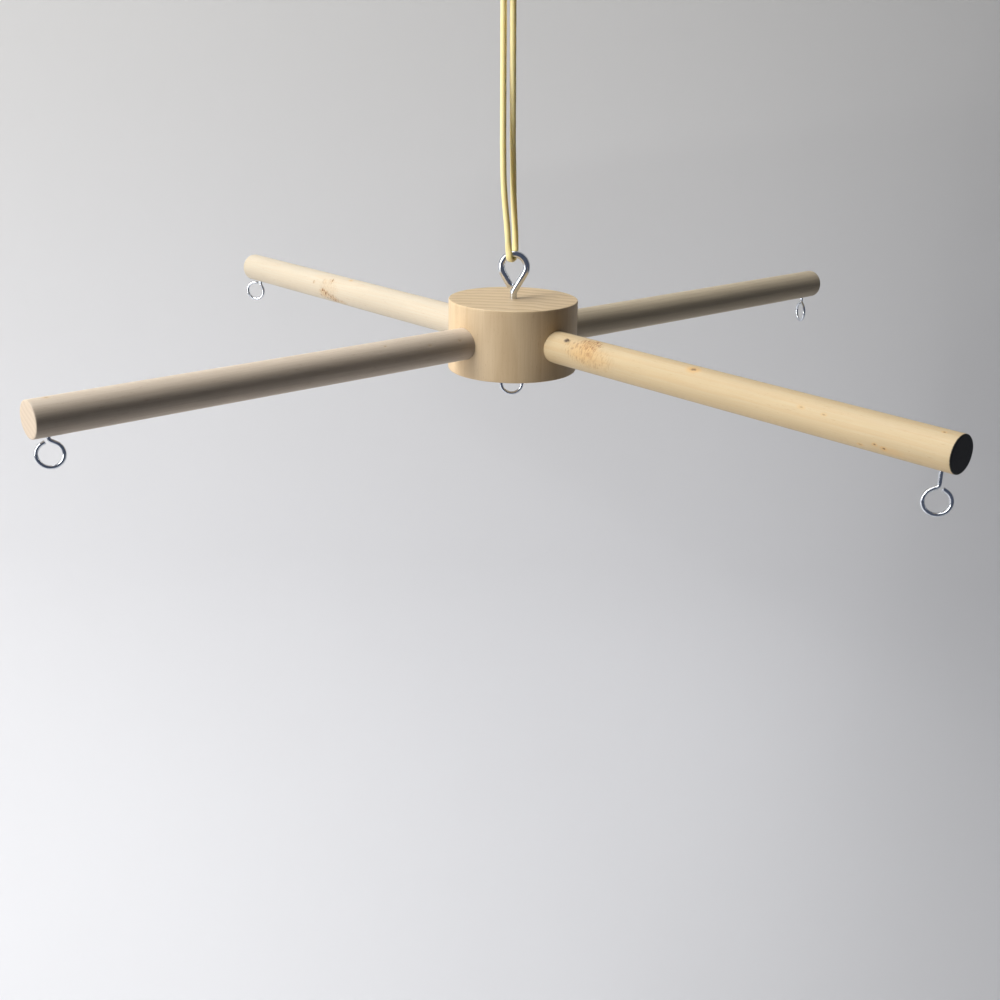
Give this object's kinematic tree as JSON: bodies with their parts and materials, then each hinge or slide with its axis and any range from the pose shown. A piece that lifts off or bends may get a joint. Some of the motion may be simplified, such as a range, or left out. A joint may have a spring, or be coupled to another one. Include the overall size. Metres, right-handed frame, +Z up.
{
  "type": "crib mobile frame",
  "caption": "Wooden hanger frame of a crib mobile: a round hub with plug-in dowel arms, screw eyes for hanging toys and a doubled cord to hang it from.",
  "frame": {"origin": "the hanging point, right under the knot of the doubled cord", "axes": "+Z up along the hub's axis, +X to the right and -Y to the front, with the arms on the diagonals between X and Y"},
  "size_m": [0.278, 0.278, 0.1703],
  "materials": {
    "hub_wood": "bare sanded wood, fine even grain",
    "arm_wood": "bare sanded dowel with small knots",
    "zinc_wire": "bright zinc plating on bent steel wire",
    "cord": "smooth pale yellow cord, slightly glossy"
  },
  "bodies": {
    "cord_top": {"cord_front": "cord", "cord_back": "cord", "cord_knot": "cord", "cord_tail_front": "cord", "cord_tail_back": "cord"},
    "cord_bottom": {"cord_bight": "cord"},
    "top_eye": {"top_eye": "zinc_wire"},
    "hub": {"hub": "hub_wood"},
    "arm_front_left": {"arm_front_left": "arm_wood"},
    "arm_front_right": {"arm_front_right": "arm_wood"},
    "arm_rear_right": {"arm_rear_right": "arm_wood"},
    "arm_rear_left": {"arm_rear_left": "arm_wood"},
    "eye_front_left": {"eye_front_left": "zinc_wire"},
    "eye_front_right": {"eye_front_right": "zinc_wire"},
    "eye_rear_right": {"eye_rear_right": "zinc_wire"},
    "eye_rear_left": {"eye_rear_left": "zinc_wire"},
    "bottom_eye": {"bottom_eye": "zinc_wire"}
  },
  "joints": [
    {"name": "cord_twist", "type": "hinge", "parent": "cord_top", "child": "cord_bottom", "pos_m": [0, 0, 0], "axis": [-0.0331, 0, 0.9995], "range_deg": [-170, 170]},
    {"name": "frame_rock", "type": "hinge", "parent": "cord_bottom", "child": "top_eye", "pos_m": [0.004, 0, -0.1], "axis": [0, 1, 0], "range_deg": [-30, 30]},
    {"name": "hub_turn", "type": "hinge", "parent": "top_eye", "child": "hub", "pos_m": [0.004, 0, -0.11212], "axis": [0, 0, 1], "range_deg": [-90, 90]},
    {"name": "front_left_pull", "type": "slide", "parent": "hub", "child": "arm_front_left", "axis": [-0.7071, -0.7071, 0], "range_m": [0, 0.02]},
    {"name": "front_right_pull", "type": "slide", "parent": "hub", "child": "arm_front_right", "axis": [0.7071, -0.7071, 0], "range_m": [0, 0.02]},
    {"name": "rear_right_pull", "type": "slide", "parent": "hub", "child": "arm_rear_right", "axis": [0.7071, 0.7071, 0], "range_m": [0, 0.02]},
    {"name": "rear_left_pull", "type": "slide", "parent": "hub", "child": "arm_rear_left", "axis": [-0.7071, 0.7071, 0], "range_m": [0, 0.02]},
    {"name": "front_left_eye_turn", "type": "hinge", "parent": "arm_front_left", "child": "eye_front_left", "pos_m": [-0.12682, -0.13081, -0.13242], "axis": [0, 0, 1], "range_deg": [-90, 90]},
    {"name": "front_right_eye_turn", "type": "hinge", "parent": "arm_front_right", "child": "eye_front_right", "pos_m": [0.13481, -0.13081, -0.13242], "axis": [0, 0, 1], "range_deg": [-90, 90]},
    {"name": "rear_right_eye_turn", "type": "hinge", "parent": "arm_rear_right", "child": "eye_rear_right", "pos_m": [0.13481, 0.13081, -0.13242], "axis": [0, 0, 1], "range_deg": [-90, 90]},
    {"name": "rear_left_eye_turn", "type": "hinge", "parent": "arm_rear_left", "child": "eye_rear_left", "pos_m": [-0.12682, 0.13081, -0.13242], "axis": [0, 0, 1], "range_deg": [-90, 90]},
    {"name": "bottom_eye_turn", "type": "hinge", "parent": "hub", "child": "bottom_eye", "pos_m": [0.004, 0, -0.13912], "axis": [0, 0, 1], "range_deg": [-90, 90]}
  ]
}
